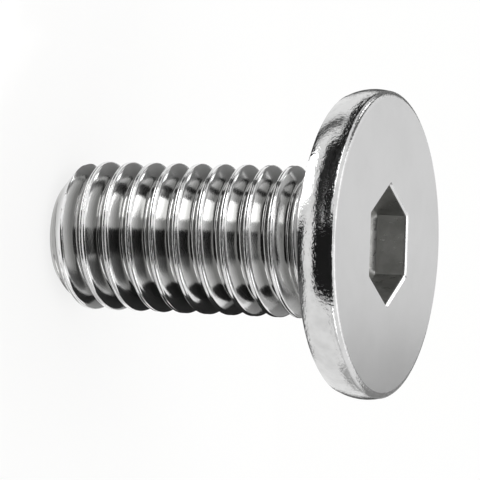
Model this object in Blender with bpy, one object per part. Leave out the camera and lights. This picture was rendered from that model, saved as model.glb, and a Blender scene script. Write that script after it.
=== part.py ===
# Low head socket cap screw, M6 x 1 thread, 12 mm long under a 12 mm head.
# One turned and rolled piece of stainless steel, standing on its tip with the head up.
# Everything is in metres. Z is the thread axis and the origin is the centre of the flat tip end.

import math

import bmesh
import bpy

mm = 0.001

# Thread, right hand, one start
threadDiameter = 6.0 * mm
pitch = 1.0 * mm
crestClearance = 0.025 * mm  # a rolled crest stays this far inside the nominal radius
threadDepth = 0.575 * mm  # from the crest down to the root
crestLandShare = 0.22  # width of the crest, as a share of the pitch
rootLandShare = 0.16  # width of the root, as a share of the pitch
landRounding = 0.08  # how much of the depth is taken up by the rounding of a crest, and of a root

# Shank
shankLength = 12.0 * mm  # from the tip end to the bearing face
neckLength = 1.0 * mm  # plain stretch under the head, with its fillet
runOutLength = 0.8 * mm  # stretch over which the thread fades into the neck
filletRadius = 0.42 * mm
tipInset = 0.2 * mm  # the flat of the tip is this far inside the thread root
tipChamferAngle = 45.0  # degrees from the end face

# Head
headDiameter = 12.0 * mm
headHeight = 1.5 * mm
sideArcRadius = 1.8 * mm  # the side of the head bulges like a barrel
widestBelowFace = 0.65 * mm
faceEdgeRadius = 0.25 * mm
bearingEdgeBreak = 0.05 * mm

# Socket
socketAcrossFlats = 4.0 * mm
socketClearance = 0.04 * mm  # the socket is this much wider than its key
socketDepth = 1.6 * mm
mouthChamfer = 0.08 * mm
floorSlope = 0.33 * mm  # width and height of the sloping band around the socket floor

# Facets
columns = 48  # a multiple of 12 puts a column on each socket corner
filletSteps = 3
sideSteps = 5
edgeSteps = 3

# Sizes that follow from the ones above
crestRadius = threadDiameter / 2 - crestClearance
rootRadius = crestRadius - threadDepth
neckRadius = (crestRadius + rootRadius) / 2
tipRadius = rootRadius - tipInset
threadTop = shankLength - neckLength
faceHeight = shankLength + headHeight
socketFlats = socketAcrossFlats + socketClearance


def threadRadiusAt(share):
    """Radius of the rolled thread at a share of one pitch, with the root at 0 and the crest at 0.5."""
    away = abs((share % 1.0) - 0.5) * 2
    crestEdge = crestLandShare
    rootEdge = 1 - rootLandShare
    rounding = landRounding * threadDepth
    if away <= crestEdge:
        return crestRadius - rounding * (away / crestEdge) ** 2
    if away >= rootEdge:
        return rootRadius + rounding * ((1 - away) / rootLandShare) ** 2
    flank = (away - crestEdge) / (rootEdge - crestEdge)
    return crestRadius - rounding - flank * (threadDepth - 2 * rounding)


def threadShares():
    """Shares of the pitch where the thread's profile has a point: root, flanks and crest."""
    crestEdge = 0.5 - crestLandShare / 2
    rootEdge = rootLandShare / 2
    middle = (crestEdge + rootEdge) / 2
    rising = [0.0, rootEdge, middle, crestEdge, 0.5]
    return rising + [1 - share for share in reversed(rising[1:4])]


def shankRadiusAt(height, threadRadius):
    """The thread, cut back by the chamfer at the tip and faded into the neck under the head."""
    chamfer = tipRadius + height * math.tan(math.radians(tipChamferAngle))
    fade = min(max((threadTop - height) / runOutLength, 0.0), 1.0)
    fade = fade * fade * (3 - 2 * fade)
    return min(neckRadius + (threadRadius - neckRadius) * fade, chamfer)


def addThreadedShank(mesh):
    """Spins one long thread profile up the helix, then trims it between the tip and the neck."""
    shares = threadShares()
    # on +X a crest stands at each whole pitch above the tip end, so the chain starts at a root
    lowest = -1.5 * pitch
    turns = math.ceil((threadTop - lowest) / pitch)
    chain = []
    for turn in range(turns):
        for share in shares:
            height = lowest + (turn + share) * pitch
            chain.append(mesh.verts.new((threadRadiusAt(share), 0.0, height)))
    chain.append(mesh.verts.new((threadRadiusAt(0.0), 0.0, lowest + turns * pitch)))
    edges = [mesh.edges.new(pair) for pair in zip(chain, chain[1:])]
    bmesh.ops.spin(
        mesh,
        geom=chain + edges,
        cent=(0.0, 0.0, 0.0),
        axis=(0.0, 0.0, 1.0),
        dvec=(0.0, 0.0, pitch / columns),
        angle=math.tau,
        steps=columns,
    )
    snap = pitch / 24
    for vert in mesh.verts:
        height = vert.co.z
        if height < snap:
            height = 0.0
        elif height > threadTop - snap:
            height = threadTop
        angle = math.atan2(vert.co.y, vert.co.x)
        radius = shankRadiusAt(height, math.hypot(vert.co.x, vert.co.y))
        vert.co = (radius * math.cos(angle), radius * math.sin(angle), height)
    bmesh.ops.remove_doubles(mesh, verts=mesh.verts, dist=0.002 * mm)


def ringAt(mesh, height):
    """Open edges that lie at one height."""
    return [
        edge
        for edge in mesh.edges
        if edge.is_boundary and all(abs(vert.co.z - height) < 0.001 * mm for vert in edge.verts)
    ]


def growRing(mesh, ring, height, radiusAt):
    """Extrudes a ring of open edges to a new height and to the radius wanted at each angle."""
    grown = bmesh.ops.extrude_edge_only(mesh, edges=ring)["geom"]
    verts = {item for item in grown if isinstance(item, bmesh.types.BMVert)}
    for vert in verts:
        angle = math.atan2(vert.co.y, vert.co.x)
        radius = radiusAt(angle)
        vert.co = (radius * math.cos(angle), radius * math.sin(angle), height)
    return [
        item
        for item in grown
        if isinstance(item, bmesh.types.BMEdge) and all(vert in verts for vert in item.verts)
    ]


def turnedProfile():
    """Radius and height of each ring from the neck up to the rim of the flat face."""
    points = [(neckRadius, shankLength - filletRadius)]
    for step in range(1, filletSteps + 1):
        angle = math.radians(90 * step / filletSteps)
        points.append(
            (
                neckRadius + filletRadius * (1 - math.cos(angle)),
                shankLength - filletRadius * (1 - math.sin(angle)),
            )
        )
    widest = faceHeight - widestBelowFace
    arcCentre = headDiameter / 2 - sideArcRadius
    low = math.asin((shankLength + bearingEdgeBreak - widest) / sideArcRadius)
    high = math.asin((widestBelowFace - faceEdgeRadius) / sideArcRadius)
    points.append((arcCentre + sideArcRadius * math.cos(low) - bearingEdgeBreak, shankLength))
    for step in range(sideSteps + 1):
        angle = low + (high - low) * step / sideSteps
        points.append((arcCentre + sideArcRadius * math.cos(angle), widest + sideArcRadius * math.sin(angle)))
    # the edge round starts along the side arc's own direction and ends level with the face
    roundFoot = points[-1][0] - faceEdgeRadius * math.cos(high)
    roundBase = faceHeight - faceEdgeRadius
    for step in range(1, edgeSteps + 1):
        angle = high + (math.pi / 2 - high) * step / edgeSteps
        points.append(
            (
                roundFoot + faceEdgeRadius * math.cos(angle),
                roundBase + faceEdgeRadius * math.sin(angle),
            )
        )
    return points


def hexagon(acrossFlats):
    """Distance from the axis to a hexagon's side at any angle, with a corner on +X."""

    def radiusAt(angle):
        turned = (angle % math.radians(60)) - math.radians(30)
        return acrossFlats / 2 / math.cos(turned)

    return radiusAt


def circle(radius):
    return lambda angle: radius


def addHead(mesh, ring):
    """Carries the neck's ring up and out around the head, then down into the socket."""
    for radius, height in turnedProfile():
        ring = growRing(mesh, ring, height, circle(radius))
    ring = growRing(mesh, ring, faceHeight, hexagon(socketFlats + 2 * mouthChamfer))
    ring = growRing(mesh, ring, faceHeight - mouthChamfer, hexagon(socketFlats))
    ring = growRing(mesh, ring, faceHeight - socketDepth + floorSlope, hexagon(socketFlats))
    ring = growRing(mesh, ring, faceHeight - socketDepth, hexagon(socketFlats - 2 * floorSlope))
    bmesh.ops.contextual_create(mesh, geom=ring)


def makeScrew():
    mesh = bmesh.new()
    addThreadedShank(mesh)
    bmesh.ops.contextual_create(mesh, geom=ringAt(mesh, 0.0))
    addHead(mesh, ringAt(mesh, threadTop))
    bmesh.ops.recalc_face_normals(mesh, faces=mesh.faces)
    data = bpy.data.meshes.new("screw")
    mesh.to_mesh(data)
    mesh.free()
    data.shade_smooth()
    data.set_sharp_from_angle(angle=math.radians(28))
    return bpy.data.objects.new("screw", data)


def stainlessSteel():
    material = bpy.data.materials.new("stainless steel")
    material.use_nodes = True
    shader = material.node_tree.nodes["Principled BSDF"]
    shader.inputs["Base Color"].default_value = (0.62, 0.61, 0.59, 1.0)
    shader.inputs["Metallic"].default_value = 1.0
    shader.inputs["Roughness"].default_value = 0.25
    return material


for item in list(bpy.data.objects):
    bpy.data.objects.remove(item, do_unlink=True)

screw = makeScrew()
screw.data.materials.append(stainlessSteel())
bpy.context.scene.collection.objects.link(screw)
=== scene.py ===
# Low head socket cap screw, M6 x 1 x 12, in stainless steel.
# It stands on its tip with +Z along its axis. The camera lies on its side, so in the picture
# the screw is level and its head is to the right.

import math

import bmesh
import bpy
from mathutils import Matrix, Vector


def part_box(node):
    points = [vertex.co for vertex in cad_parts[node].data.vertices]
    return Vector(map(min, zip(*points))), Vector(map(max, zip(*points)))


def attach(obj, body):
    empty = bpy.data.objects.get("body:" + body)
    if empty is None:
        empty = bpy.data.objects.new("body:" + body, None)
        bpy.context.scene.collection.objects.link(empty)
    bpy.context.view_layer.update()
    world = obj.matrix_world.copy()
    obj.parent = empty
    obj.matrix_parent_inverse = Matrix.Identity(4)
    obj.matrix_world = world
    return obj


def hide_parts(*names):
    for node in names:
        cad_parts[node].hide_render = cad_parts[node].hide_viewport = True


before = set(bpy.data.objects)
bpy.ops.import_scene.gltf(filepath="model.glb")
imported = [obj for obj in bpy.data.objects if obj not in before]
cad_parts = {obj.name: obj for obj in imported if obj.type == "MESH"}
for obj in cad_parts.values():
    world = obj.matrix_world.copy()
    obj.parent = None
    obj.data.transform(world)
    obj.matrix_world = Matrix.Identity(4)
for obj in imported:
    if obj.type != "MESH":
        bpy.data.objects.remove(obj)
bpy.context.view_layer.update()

mm = 0.001
hair = 0.001 * mm  # heights that differ by less are the same height
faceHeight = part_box("screw")[1].z

print("frame loaded, head face at %.2f mm" % (faceHeight / mm))

thread = {
    "pitch": 1.0 * mm,
    "crestRadius": 2.975 * mm,
    "depth": 0.575 * mm,
    "crestShare": 0.22,  # width of the crest, as a share of the pitch
    "rootShare": 0.16,
    "easing": 0.045,  # how far a corner is rounded, as a share of the pitch
    "seamDepth": 0.022 * mm,  # the two lips that rolling raises never quite close
    "seamShare": 0.045,
    "chamferTan": 1.0,  # 45 degrees at the tip
    "tipRadius": 2.2 * mm,
    "neckRadius": 2.6875 * mm,
    "top": 11.0 * mm,  # the thread has faded into the neck here
    "runOut": 0.8 * mm,
    "columns": 144,
    "snapShare": 1 / 80,  # points this near to an end of the thread are put on it
    "mergeDistance": 0.0005 * mm,
    "tipEdge": 0.06 * mm,  # a ring this far inside the tip's edge keeps the end flat
}

# shares of one pitch where the profile has a point, from the root up to the crest
risingShares = (
    0.0, 0.03, 0.06, 0.09, 0.12, 0.16, 0.22, 0.28, 0.33, 0.36, 0.385, 0.405, 0.425, 0.45, 0.475,
)


def plainThread(share):
    away = abs(share % 1.0 - 0.5) * 2  # 0 on the crest, 1 in the root
    flank = 1 - thread["rootShare"] - thread["crestShare"]
    return min(max((1 - thread["rootShare"] - away) / flank, 0.0), 1.0)


def threadRadius(share):
    steps = [step / 6 * thread["easing"] for step in range(-6, 7)]
    eased = sum(plainThread(share + step) for step in steps) / len(steps)
    seam = math.exp(-(((share % 1.0 - 0.5) / thread["seamShare"]) ** 2))
    radius = thread["crestRadius"] - thread["depth"] * (1 - eased)
    return radius - thread["seamDepth"] * seam


def shankRadius(height, radius):
    chamfer = thread["tipRadius"] + height * thread["chamferTan"]
    fade = min(max((thread["top"] - height) / thread["runOut"], 0.0), 1.0)
    fade = fade * fade * (3 - 2 * fade)
    return min(thread["neckRadius"] + (radius - thread["neckRadius"]) * fade, chamfer)


def addThread(mesh):
    # the whole profile is spun once round while it climbs by one pitch, then trimmed at both ends
    pitch = thread["pitch"]
    shares = list(risingShares) + [0.5] + [1 - share for share in reversed(risingShares[1:])]
    lowest = -1.5 * pitch  # puts a crest on +X at each whole pitch above the tip
    turns = math.ceil((thread["top"] - lowest) / pitch)
    climbs = [turn + share for turn in range(turns) for share in shares] + [turns]
    chain = [mesh.verts.new((threadRadius(climb), 0, lowest + climb * pitch)) for climb in climbs]
    edges = [mesh.edges.new(pair) for pair in zip(chain, chain[1:])]
    bmesh.ops.spin(
        mesh,
        geom=chain + edges,
        cent=(0, 0, 0),
        axis=(0, 0, 1),
        dvec=(0, 0, pitch / thread["columns"]),
        angle=math.tau,
        steps=thread["columns"],
    )
    snap = pitch * thread["snapShare"]
    for vert in mesh.verts:
        height = vert.co.z
        if height < snap:
            height = 0.0
        elif height > thread["top"] - snap:
            height = thread["top"]
        angle = round(math.atan2(vert.co.y, vert.co.x) / math.tau * thread["columns"])
        angle *= math.tau / thread["columns"]
        radius = shankRadius(height, math.hypot(vert.co.x, vert.co.y))
        vert.co = (radius * math.cos(angle), radius * math.sin(angle), height)
    bmesh.ops.remove_doubles(mesh, verts=mesh.verts, dist=thread["mergeDistance"])


def openRing(mesh, height):
    return [
        edge
        for edge in mesh.edges
        if edge.is_boundary and all(abs(vert.co.z - height) < hair for vert in edge.verts)
    ]


def growRing(mesh, ring, height, radiusAt):
    # the open ring is extruded to a new height and to the radius wanted at each angle
    grown = bmesh.ops.extrude_edge_only(mesh, edges=ring)["geom"]
    verts = {item for item in grown if isinstance(item, bmesh.types.BMVert)}
    for vert in verts:
        angle = math.atan2(vert.co.y, vert.co.x)
        radius = radiusAt(angle)
        vert.co = (radius * math.cos(angle), radius * math.sin(angle), height)
    return [
        item
        for item in grown
        if isinstance(item, bmesh.types.BMEdge) and all(vert in verts for vert in item.verts)
    ]


head = {
    "bearing": 12.0 * mm,  # height of the underside
    "diameter": 12.0 * mm,
    "filletRadius": 0.42 * mm,
    "sideArcRadius": 1.8 * mm,
    "widestBelowFace": 0.65 * mm,
    "edgeBreak": 0.05 * mm,
    "faceEdgeRadius": 0.25 * mm,
    "filletSteps": 10,
    "sideSteps": 18,
    "edgeSteps": 9,
    "breakSteps": 4,
    "edgeRing": 0.05 * mm,  # rings this far from an edge keep the surface beside it straight
    "bearingRing": 0.06 * mm,  # and the same at the outside of the underside
}


def arcPoints(centre, radius, start, end, steps):
    # points along an arc, without its first one; angles in degrees from the level outward direction
    points = []
    for step in range(1, steps + 1):
        angle = math.radians(start + (end - start) * step / steps)
        points.append((centre[0] + radius * math.cos(angle), centre[1] + radius * math.sin(angle)))
    return points


def turnedProfile():
    bearing = head["bearing"]
    fillet = head["filletRadius"]
    neck = thread["neckRadius"]
    ring = head["edgeRing"]
    points = [(neck, bearing - fillet - ring), (neck, bearing - fillet)]
    points += arcPoints((neck + fillet, bearing - fillet), fillet, 180, 90, head["filletSteps"])
    widest = faceHeight - head["widestBelowFace"]
    sideArc = head["sideArcRadius"]
    arcCentre = head["diameter"] / 2 - sideArc
    edgeBreak = head["edgeBreak"]
    low = math.degrees(math.asin((bearing + edgeBreak - widest) / sideArc))
    high = math.degrees(math.asin((head["widestBelowFace"] - head["faceEdgeRadius"]) / sideArc))
    start = (arcCentre + sideArc * math.cos(math.radians(low)), bearing + edgeBreak)
    points.append((neck + fillet + ring, bearing))
    points.append((start[0] - edgeBreak - head["bearingRing"], bearing))
    points += arcPoints((start[0] - edgeBreak, start[1]), edgeBreak, -90, low, head["breakSteps"])
    points += arcPoints((arcCentre, widest), sideArc, low, high, head["sideSteps"])
    # the edge round leaves along the side arc's own direction and ends level with the face
    edge = head["faceEdgeRadius"]
    foot = (points[-1][0] - edge * math.cos(math.radians(high)), faceHeight - edge)
    points += arcPoints(foot, edge, high, 90, head["edgeSteps"])
    points.append((points[-1][0] - ring, faceHeight))
    return points


socket = {
    "acrossFlats": 4.04 * mm,
    "depth": 1.6 * mm,
    "mouthChamfer": 0.08 * mm,
    "floorSlope": 0.33 * mm,
    "cornerRadius": 0.09 * mm,
    "lip": 0.02 * mm,  # small rounding on both sides of each edge
    "reach": 2.55 * mm,  # the whole socket lies inside this radius
}


def hexagon(acrossFlats):
    # distance from the axis to the side of a hexagon with rounded corners, one of them on +X
    corner = socket["cornerRadius"]
    centre = (acrossFlats / 2 - corner) / math.cos(math.radians(30))
    side = math.radians(30)
    reach = math.atan2(corner * math.sin(side), centre + corner * math.cos(side))

    def radiusAt(angle):
        away = abs((angle + side) % math.radians(60) - side)
        if away < reach:
            return centre * math.cos(away) + math.sqrt(corner**2 - (centre * math.sin(away)) ** 2)
        return acrossFlats / 2 / math.cos(side - away)

    return radiusAt


def addHead(mesh, ring):
    for radius, height in turnedProfile():
        ring = growRing(mesh, ring, height, lambda angle, radius=radius: radius)
    flats = socket["acrossFlats"]
    chamfer = socket["mouthChamfer"]
    lip = socket["lip"]
    floor = faceHeight - socket["depth"]
    slope = socket["floorSlope"]
    for width, height in (
        (flats + 2 * chamfer + 4 * lip, faceHeight),
        (flats + 2 * chamfer + lip, faceHeight),
        (flats + 2 * chamfer - lip, faceHeight - lip),
        (flats + lip, faceHeight - chamfer),
        (flats, faceHeight - chamfer - lip),
        (flats, faceHeight - chamfer - 4 * lip),
        (flats, floor + slope + lip),
        (flats - lip, floor + slope - lip),
        (flats - 2 * slope + 2 * lip, floor + lip),
        (flats - 2 * slope - lip, floor),
        (flats - 2 * slope - 5 * lip, floor),
    ):
        ring = growRing(mesh, ring, height, hexagon(width))
    bmesh.ops.contextual_create(mesh, geom=ring)


# zones of the surface, in the order of the material slots
zones = ("thread", "underside", "rim", "face", "mouth", "socket")


def zoneOf(face):
    centre = face.calc_center_median()
    radius = math.hypot(centre.x, centre.y)
    if centre.z < thread["top"]:
        return zones.index("thread")
    if centre.z > faceHeight - hair:
        return zones.index("face")
    if radius < socket["reach"]:
        isMouth = centre.z > faceHeight - socket["mouthChamfer"]
        return zones.index("mouth" if isMouth else "socket")
    if centre.z < head["bearing"] + 2 * hair:
        return zones.index("underside")
    return zones.index("rim")


sharpAngle = 32.0  # degrees; a steeper edge between two faces is shaded as a crease


def makeScrew():
    mesh = bmesh.new()
    addThread(mesh)
    tip = openRing(mesh, 0.0)
    tip = growRing(mesh, tip, 0.0, lambda angle: thread["tipRadius"] - thread["tipEdge"])
    bmesh.ops.contextual_create(mesh, geom=tip)
    addHead(mesh, openRing(mesh, thread["top"]))
    bmesh.ops.recalc_face_normals(mesh, faces=mesh.faces)
    for face in mesh.faces:
        face.material_index = zoneOf(face)
    data = bpy.data.meshes.new("capScrew")
    mesh.to_mesh(data)
    mesh.free()
    data.shade_smooth()
    data.set_sharp_from_angle(angle=math.radians(sharpAngle))
    piece = bpy.data.objects.new("capScrew", data)
    bpy.context.scene.collection.objects.link(piece)
    return piece


screw = makeScrew()
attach(screw, "root")
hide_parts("screw")
print("screw made, %d faces" % len(screw.data.polygons))


def linear(hexColour):
    channels = [int(hexColour[i : i + 2], 16) / 255 for i in (1, 3, 5)]
    return tuple(
        c / 12.92 if c <= 0.04045 else ((c + 0.055) / 1.055) ** 2.4 for c in channels
    ) + (1.0,)


def addNode(tree, kind, inputs=(), **settings):
    node = tree.nodes.new(kind)
    for name, value in settings.items():
        setattr(node, name, value)
    for socketName, value in dict(inputs).items():
        if isinstance(value, bpy.types.NodeSocket):
            tree.links.new(value, node.inputs[socketName])
        else:
            node.inputs[socketName].default_value = value
    return node


# One austenitic stainless steel, finished in six ways. Grain sizes are in metres.
steels = {
    # thread rolled cold between dies: burnished flanks with fine lines along the rolling
    "thread": {
        "name": "rolled stainless steel",
        "colour": "#f0f0f0",
        "shade": "#dadada",
        "paintedGrooveShade": "#acacab",  # painted shade: the roots are coloured darker, as the grooves lie in shade
        "roughness": (0.08, 0.15),
        "grain": 0.10 * mm,
        "stretch": 6.0,  # the grain is this much finer along the axis
        "relief": 0.0016 * mm,
        "mottle": 0.7 * mm,
    },
    # pressed against the die under the head: satin, a little darker
    "underside": {
        "name": "pressed stainless steel",
        "colour": "#c8c8c8",
        "shade": "#a6a6a5",
        "roughness": (0.26, 0.36),
        "grain": 0.09 * mm,
        "stretch": 1.0,
        "relief": 0.0015 * mm,
        "mottle": 0.8 * mm,
    },
    # cold headed and tumbled: bright, with small dents that fray every reflection
    "rim": {
        "name": "tumbled stainless steel",
        "colour": "#d6d6d6",
        "shade": "#bebebe",
        "roughness": (0.05, 0.10),
        "grain": 0.13 * mm,
        "stretch": 1.0,
        "relief": 0.013 * mm,
        "mottle": 0.6 * mm,
    },
    # struck flat by the punch: even satin
    "face": {
        "name": "struck stainless steel",
        "colour": "#cccccc",
        "shade": "#c6c6c6",
        "roughness": (0.28, 0.32),
        "grain": 0.08 * mm,
        "stretch": 1.0,
        "relief": 0.0004 * mm,
        "mottle": 1.6 * mm,
    },
    # the shoulder of the hex punch coins the edge: a fine bright outline
    "mouth": {
        "name": "coined stainless steel",
        "colour": "#dedede",
        "shade": "#d2d2d2",
        "roughness": (0.12, 0.16),
        "grain": 0.08 * mm,
        "stretch": 1.0,
        "relief": 0.0003 * mm,
        "mottle": 0.8 * mm,
    },
    # pressed in by the hex punch: duller, drawn down its walls. Its darker base colours are painted
    # shade for the recess
    "socket": {
        "name": "punched steel in painted shade",
        "colour": "#b2b2b0",
        "shade": "#949491",
        "roughness": (0.26, 0.40),
        "grain": 0.12 * mm,
        "stretch": 0.3,
        "relief": 0.0014 * mm,
        "mottle": 0.5 * mm,
    },
}


def makeSteel(look):
    material = bpy.data.materials.new(look["name"])
    material.use_nodes = True
    tree = material.node_tree
    shader = tree.nodes["Principled BSDF"]
    place = addNode(tree, "ShaderNodeTexCoord").outputs["Object"]
    drawn = addNode(
        tree,
        "ShaderNodeMapping",
        {"Vector": place, "Scale": (1.0, 1.0, look["stretch"])},
    ).outputs["Vector"]
    grain = addNode(
        tree,
        "ShaderNodeTexNoise",
        {"Vector": drawn, "Scale": 1 / look["grain"], "Detail": 3.0, "Roughness": 0.55},
    ).outputs["Fac"]
    mottle = addNode(
        tree,
        "ShaderNodeTexNoise",
        {"Vector": place, "Scale": 1 / look["mottle"], "Detail": 2.0},
    ).outputs["Fac"]
    shade = addNode(
        tree,
        "ShaderNodeMapRange",
        {"Value": mottle, "From Min": 0.42, "From Max": 0.72, "To Min": 0.0, "To Max": 0.6},
    ).outputs["Result"]
    # a Mix node has sockets of several kinds under one name, so its colours are named by place
    colour = addNode(
        tree,
        "ShaderNodeMix",
        {0: shade, 6: linear(look["colour"]), 7: linear(look["shade"])},
        data_type="RGBA",
    ).outputs[2]
    # painted shade: the base colour darkens from the crest down into the thread's root, where the
    # grooves lie in shade
    if "paintedGrooveShade" in look:
        level = addNode(
            tree, "ShaderNodeVectorMath", {0: place, 1: (1, 1, 0)}, operation="MULTIPLY"
        ).outputs[0]
        radius = addNode(
            tree, "ShaderNodeVectorMath", {0: level}, operation="LENGTH"
        ).outputs["Value"]
        crest = thread["crestRadius"]
        out = addNode(
            tree,
            "ShaderNodeMapRange",
            {"Value": radius, "From Min": crest - 0.75 * thread["depth"], "From Max": crest},
        ).outputs["Result"]
        colour = addNode(
            tree,
            "ShaderNodeMix",
            {0: out, 6: linear(look["paintedGrooveShade"]), 7: colour},
            data_type="RGBA",
        ).outputs[2]
    dull = addNode(
        tree,
        "ShaderNodeMapRange",
        {
            "Value": grain,
            "From Min": 0.3,
            "From Max": 0.7,
            "To Min": look["roughness"][0],
            "To Max": look["roughness"][1],
        },
    ).outputs["Result"]
    bump = addNode(
        tree,
        "ShaderNodeBump",
        {"Height": grain, "Strength": 1.0, "Distance": look["relief"]},
    ).outputs["Normal"]
    tree.links.new(colour, shader.inputs["Base Color"])
    tree.links.new(dull, shader.inputs["Roughness"])
    tree.links.new(bump, shader.inputs["Normal"])
    shader.inputs["Metallic"].default_value = 1.0
    return material


for zone in zones:
    screw.data.materials.append(makeSteel(steels[zone]))
print("steels made")


studio = {
    "floorColour": "#f7f7f5",
    "floorGlow": 0.75,  # how much of the floor's white is its own, so that its shadow stays soft
    "horizon": 0.7,  # the foot of the tent's pale wall, all round
    "sky": 1.0,  # its top
    "skyStarts": 25.0,  # degrees up from level where the wall has become the top
}


def makeFloor():
    mesh = bmesh.new()
    bmesh.ops.create_grid(mesh, x_segments=4, y_segments=4, size=1.0)
    data = bpy.data.meshes.new("floor")
    mesh.to_mesh(data)
    mesh.free()
    floor = bpy.data.objects.new("floor", data)
    bpy.context.scene.collection.objects.link(floor)
    material = bpy.data.materials.new("matt paper")
    material.use_nodes = True
    tree = material.node_tree
    paper = tree.nodes["Principled BSDF"]
    paper.inputs["Base Color"].default_value = linear(studio["floorColour"])
    paper.inputs["Roughness"].default_value = 0.9
    rays = addNode(tree, "ShaderNodeLightPath").outputs
    seen = rays["Is Camera Ray"]
    for kind in ("Is Glossy Ray", "Is Transmission Ray"):
        seen = addNode(
            tree, "ShaderNodeMath", {0: seen, 1: rays[kind]}, operation="MAXIMUM"
        ).outputs[0]
    share = addNode(
        tree, "ShaderNodeMath", {0: seen, 1: studio["floorGlow"]}, operation="MULTIPLY"
    ).outputs[0]
    glow = addNode(tree, "ShaderNodeEmission", {"Color": (1, 1, 1, 1), "Strength": 1.0})
    both = addNode(
        tree,
        "ShaderNodeMixShader",
        {"Fac": share, 1: paper.outputs["BSDF"], 2: glow.outputs["Emission"]},
    )
    tree.links.new(both.outputs["Shader"], tree.nodes["Material Output"].inputs["Surface"])
    data.materials.append(material)


makeFloor()


def makeWorld():
    world = bpy.data.worlds.new("light tent")
    bpy.context.scene.world = world
    world.use_nodes = True
    tree = world.node_tree
    background = tree.nodes["Background"]
    way = addNode(tree, "ShaderNodeTexCoord").outputs["Generated"]
    height = addNode(tree, "ShaderNodeSeparateXYZ", {"Vector": way}).outputs["Z"]
    wall = addNode(
        tree,
        "ShaderNodeMapRange",
        {
            "Value": height,
            "From Min": 0.0,
            "From Max": math.sin(math.radians(studio["skyStarts"])),
            "To Min": studio["horizon"],
            "To Max": studio["sky"],
        },
        interpolation_type="SMOOTHSTEP",
    ).outputs["Result"]
    tree.links.new(wall, background.inputs["Strength"])
    background.inputs["Color"].default_value = (1, 1, 1, 1)


makeWorld()

# Soft boxes: where each stands as seen from the screw, in degrees round from the camera's side
# towards -X and up from level, its distance, width and height, and how bright its cloth is
softBoxes = {
    "top box": {"round": 180, "up": 62, "distance": 0.40, "size": (0.34, 0.20), "bright": 0.5},
    "front box": {"round": 56, "up": 10, "distance": 0.34, "size": (0.20, 0.11), "bright": 3.5},
    "low box": {"round": -60, "up": 20, "distance": 0.40, "size": (0.16, 0.14), "bright": 1.5},
}
middle = Vector((0, 0, faceHeight / 2))


def towards(roundAngle, upAngle):
    # direction from the screw, with 0 degrees round towards the camera and 90 towards -X
    level = math.cos(math.radians(upAngle))
    turn = math.radians(roundAngle)
    rise = math.sin(math.radians(upAngle))
    return Vector((-math.sin(turn) * level, -math.cos(turn) * level, rise))


def makeLights():
    for name, box in softBoxes.items():
        lamp = bpy.data.lights.new(name, "AREA")
        lamp.shape = "RECTANGLE"
        lamp.size, lamp.size_y = box["size"]
        lamp.energy = box["bright"] * math.pi * lamp.size * lamp.size_y
        away = towards(box["round"], box["up"])
        item = bpy.data.objects.new(name, lamp)
        item.location = middle + away * box["distance"]
        item.rotation_euler = away.to_track_quat("Z", "Y").to_euler()
        bpy.context.scene.collection.objects.link(item)


makeLights()

# Cards stand and lie round bright metal so that it has something dark to mirror. Each is a strip
# that runs out from the screw, round degrees from the camera's side towards -X. Its near and far
# ends are given as distance, height and width in mm. A white plate has a glow, which brightens one
# edge of the metal. Only reflections show them.
cards = {
    "front fan": {"round": -9, "near": (5, 0.2, 3.6), "far": (13, 0.2, 12), "cloth": "#1c1c1c"},
    "front card": {"round": -12, "near": (26, 0.2, 20), "far": (46, 70, 76), "cloth": "#0c0c0c"},
    "front hood": {"round": -12, "near": (46, 70, 60), "far": (12.5, 34, 16), "cloth": "#0c0c0c"},
    "upper strip": {"round": 54, "near": (60, 0.2, 88), "far": (60, 21, 112), "cloth": "#101010"},
    "upper floor": {"round": 40, "near": (24, 0.2, 34), "far": (60, 0.2, 96), "cloth": "#101010"},
    "upper card": {"round": 90, "near": (8, 0.2, 11), "far": (13.5, 0.2, 10), "cloth": "#303030"},
    "upper line": {"round": 94, "near": (13.5, 0.2, 4), "far": (50, 0.2, 8), "cloth": "#303030"},
    "upper back card": {"round": 125, "near": (60, 30, 50), "far": (60, 90, 50), "cloth": "#707070"},
    "upper far card": {"round": 150, "near": (60, 2, 44), "far": (60, 34, 40), "cloth": "#7c7c7c"},
    "upper end": {"round": 116, "near": (58, 0.2, 64), "far": (58, 13, 64), "cloth": "#181818"},
    "behind card": {"round": 180, "near": (22, 0.2, 34), "far": (58, 0.2, 80), "cloth": "#505050"},
    "lower card": {"round": -66, "near": (5, 0.2, 10), "far": (12.2, 0.2, 19), "cloth": "#747474"},
    "lower side card": {"round": -116, "near": (50, 2, 40), "far": (50, 12, 40), "cloth": "#b0b0b0"},
    "close card": {"round": -112, "near": (5.0, 3, 8), "far": (5.0, 9.2, 8), "cloth": "#303030"},
    "back card": {"round": -152, "near": (52, 4, 42), "far": (52, 44, 42), "cloth": "#8c8c8c"},
    "light plate": {
        "round": 52, "near": (8, 0.3, 6), "far": (16, 0.3, 10), "cloth": "#ffffff", "glow": 3.2,
    },
    "mouth plate": {
        "round": 0, "near": (20, 68.5, 12), "far": (30, 63.5, 12), "cloth": "#ffffff", "glow": 1.25,
    },
    "side plate": {
        "round": 124, "near": (50, 32, 18), "far": (50, 44, 18), "cloth": "#ffffff", "glow": 1.25,
    },
}


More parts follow.
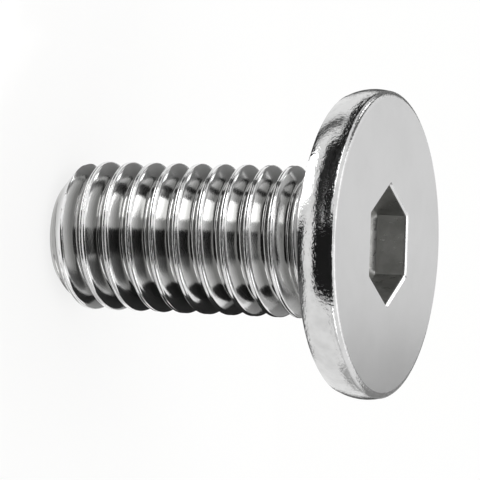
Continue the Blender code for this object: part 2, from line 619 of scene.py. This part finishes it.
def makeCard(name, card):
    mesh = bmesh.new()
    near, far = [
        [mesh.verts.new((side * width / 2 * mm, -distance * mm, height * mm)) for side in (-1, 1)]
        for distance, height, width in (card["near"], card["far"])
    ]
    edges = [mesh.edges.new(end) for end in (near, far)]
    bmesh.ops.bridge_loops(mesh, edges=edges)
    turn = Matrix.Rotation(math.radians(-card["round"]), 3, "Z")
    bmesh.ops.rotate(mesh, verts=mesh.verts, cent=(0, 0, 0), matrix=turn)
    data = bpy.data.meshes.new(name)
    mesh.to_mesh(data)
    mesh.free()
    item = bpy.data.objects.new(name.replace(" ", "_"), data)
    bpy.context.scene.collection.objects.link(item)
    item.visible_camera = False
    item.visible_diffuse = False
    item.visible_shadow = False
    material = bpy.data.materials.new(name + " cloth")
    material.use_nodes = True
    cloth = material.node_tree.nodes["Principled BSDF"]
    cloth.inputs["Base Color"].default_value = linear(card["cloth"])
    cloth.inputs["Roughness"].default_value = 1.0
    cloth.inputs["Emission Color"].default_value = linear(card["cloth"])
    cloth.inputs["Emission Strength"].default_value = card.get("glow", 0.0)
    data.materials.append(material)


for name, card in cards.items():
    makeCard(name, card)
print("studio made")

camera = {
    "target": (0, 0, 7.25 * mm),
    "elevation": 23.0,  # degrees above level
    "distance": 120 * mm,
    "slope": 1.9,  # degrees that the screw's axis runs down to the right
    "halfView": 4.5,  # degrees
}


def makeCamera():
    lens = bpy.data.cameras.new("camera")
    lens.sensor_width = 36
    lens.lens = 18 / math.tan(math.radians(camera["halfView"]))
    lens.clip_start = 1 * mm
    item = bpy.data.objects.new("camera", lens)
    bpy.context.scene.collection.objects.link(item)
    elevation = math.radians(camera["elevation"])
    back = Vector((0, -math.cos(elevation), math.sin(elevation)))
    axis = Vector((0, 0, 1))
    right = (axis - back * axis.dot(back)).normalized()
    up = back.cross(right)
    slope = math.radians(camera["slope"])
    turnedRight = right * math.cos(slope) + up * math.sin(slope)
    turnedUp = up * math.cos(slope) - right * math.sin(slope)
    matrix = Matrix((turnedRight, turnedUp, back)).transposed().to_4x4()
    matrix.translation = Vector(camera["target"]) + back * camera["distance"]
    item.matrix_world = matrix
    bpy.context.scene.camera = item


makeCamera()
bpy.context.scene.view_settings.view_transform = "Standard"
